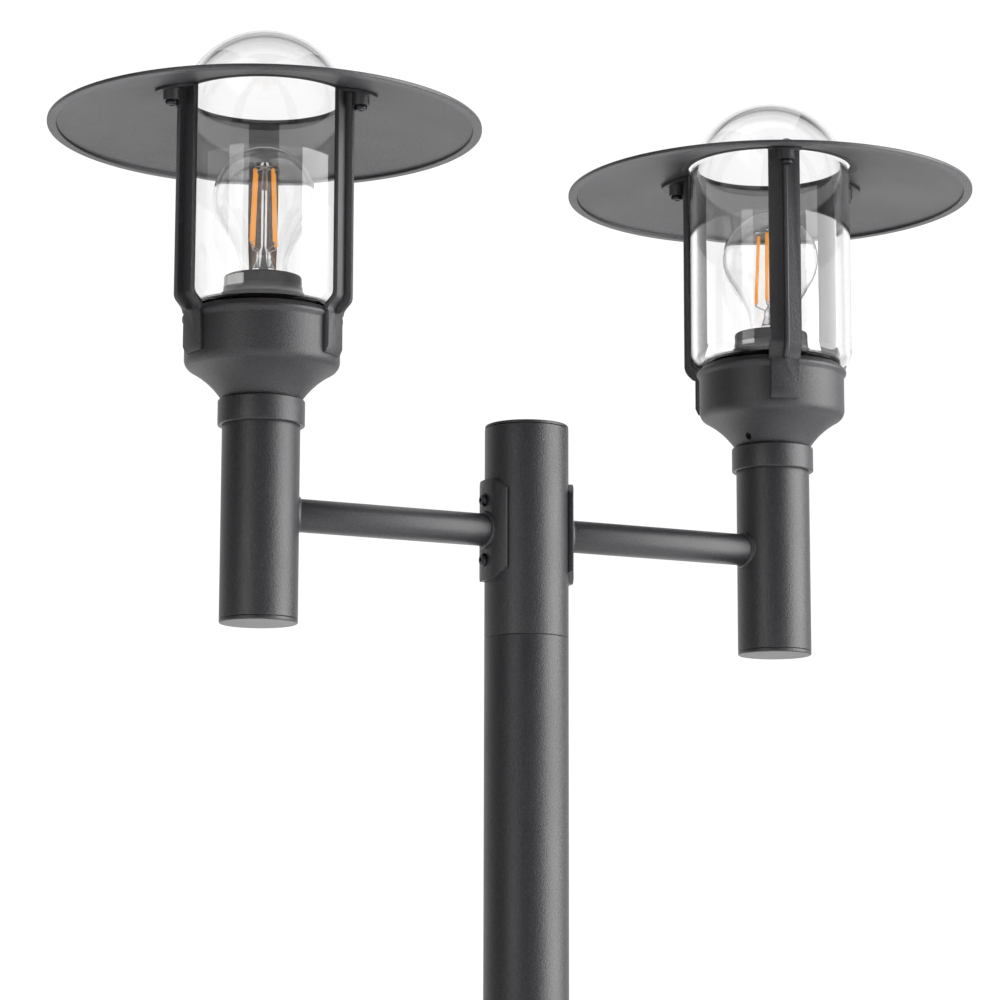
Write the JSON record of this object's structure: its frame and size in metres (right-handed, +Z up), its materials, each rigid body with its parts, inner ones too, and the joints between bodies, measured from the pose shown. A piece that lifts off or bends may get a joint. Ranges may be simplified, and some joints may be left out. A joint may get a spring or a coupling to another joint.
{
  "type": "street lamp post",
  "caption": "Slim dark street lamp post with twin lanterns on short arms, each with a clear glass dome, a shallow conical hat and a screw-in bulb.",
  "frame": {"origin": "centre of the base plate's underside, on the ground", "axes": "+Z up along the post; +X along the right arm; the two lanterns stand on the X axis"},
  "size_m": [0.599, 0.255, 2.202],
  "materials": {
    "powder_coat": "anthracite fine-textured powder coat on steel tube",
    "cast_coat": "anthracite powder coat on cast aluminium",
    "hat_coat": "anthracite powder coat on spun aluminium sheet",
    "zinc_steel": "zinc-plated steel",
    "bright_screw": "stainless steel, bright",
    "black_screw": "black-oxide steel",
    "rubber_black": "moulded silicone rubber, black",
    "holder_plastic": "moulded thermoset, black, satin",
    "terminal_plastic": "moulded polyamide, off-white",
    "cable_jacket": "rubber cable jacket, black",
    "contact_brass": "pressed brass",
    "clear_glass": "thick clear blown glass",
    "bulb_glass": "thin clear bulb glass",
    "stem_glass": "pressed clear glass",
    "bulb_cap_metal": "rolled nickel-plated screw cap",
    "filament_coat": "amber silicone coat over the light strips"
  },
  "bodies": {
    "root": {"base_plate": "powder_coat", "base_foot": "powder_coat", "cable_grommet": "rubber_black", "lower_post": "powder_coat", "post_sleeve": "zinc_steel", "upper_post": "powder_coat", "head_sleeve": "zinc_steel", "head_tube": "powder_coat", "post_cap": "powder_coat", "post_grub_screws": "black_screw", "saddle_screws": "black_screw", "terminal_block": "terminal_plastic", "right_saddle": "powder_coat", "right_arm": "powder_coat", "right_lamp_cable": "cable_jacket", "right_lamp_tube": "powder_coat", "right_tube_cap": "powder_coat", "right_tube_collar": "powder_coat", "left_saddle": "powder_coat", "left_arm": "powder_coat", "left_lamp_cable": "cable_jacket", "left_lamp_tube": "powder_coat", "left_tube_cap": "powder_coat", "left_tube_collar": "powder_coat"},
    "right_lantern": {"right_lantern_cup": "cast_coat", "right_cup_grub_screw": "black_screw", "right_lantern_screws": "black_screw", "right_glass_gasket": "rubber_black", "right_hat": "hat_coat", "right_hat_seal": "rubber_black", "right_hat_cap_nuts": "bright_screw", "right_strut_1": "cast_coat", "right_strut_2": "cast_coat", "right_strut_3": "cast_coat", "right_lampholder": "holder_plastic", "right_lampholder_shell": "contact_brass", "right_lampholder_bolt": "zinc_steel"},
    "right_glass": {"right_glass_dome": "clear_glass"},
    "right_bulb": {"right_bulb_glass": "bulb_glass", "right_bulb_cap": "bulb_cap_metal", "right_bulb_stem": "stem_glass", "right_bulb_filaments": "filament_coat"},
    "left_lantern": {"left_lantern_cup": "cast_coat", "left_cup_grub_screw": "black_screw", "left_lantern_screws": "black_screw", "left_glass_gasket": "rubber_black", "left_hat": "hat_coat", "left_hat_seal": "rubber_black", "left_hat_cap_nuts": "bright_screw", "left_strut_1": "cast_coat", "left_strut_2": "cast_coat", "left_strut_3": "cast_coat", "left_lampholder": "holder_plastic", "left_lampholder_shell": "contact_brass", "left_lampholder_bolt": "zinc_steel"},
    "left_glass": {"left_glass_dome": "clear_glass"},
    "left_bulb": {"left_bulb_glass": "bulb_glass", "left_bulb_cap": "bulb_cap_metal", "left_bulb_stem": "stem_glass", "left_bulb_filaments": "filament_coat"}
  },
  "joints": [
    {"name": "right_lantern_turn", "type": "hinge", "parent": "root", "child": "right_lantern", "pos_m": [0.172, 0, 1.981], "axis": [0, 0, 1], "range_deg": [-180, 180]},
    {"name": "right_glass_lift", "type": "slide", "parent": "right_lantern", "child": "right_glass", "axis": [0, 0, 1], "range_m": [0, 0.15]},
    {"name": "right_bulb_unscrew", "type": "hinge", "parent": "right_lantern", "child": "right_bulb", "pos_m": [0.172, 0, 2.043], "axis": [0, 0, 1], "range_deg": [0, 1080]},
    {"name": "left_lantern_turn", "type": "hinge", "parent": "root", "child": "left_lantern", "pos_m": [-0.172, 0, 1.981], "axis": [0, 0, 1], "range_deg": [-180, 180]},
    {"name": "left_glass_lift", "type": "slide", "parent": "left_lantern", "child": "left_glass", "axis": [0, 0, 1], "range_m": [0, 0.15]},
    {"name": "left_bulb_unscrew", "type": "hinge", "parent": "left_lantern", "child": "left_bulb", "pos_m": [-0.172, 0, 2.043], "axis": [0, 0, 1], "range_deg": [0, 1080]}
  ]
}
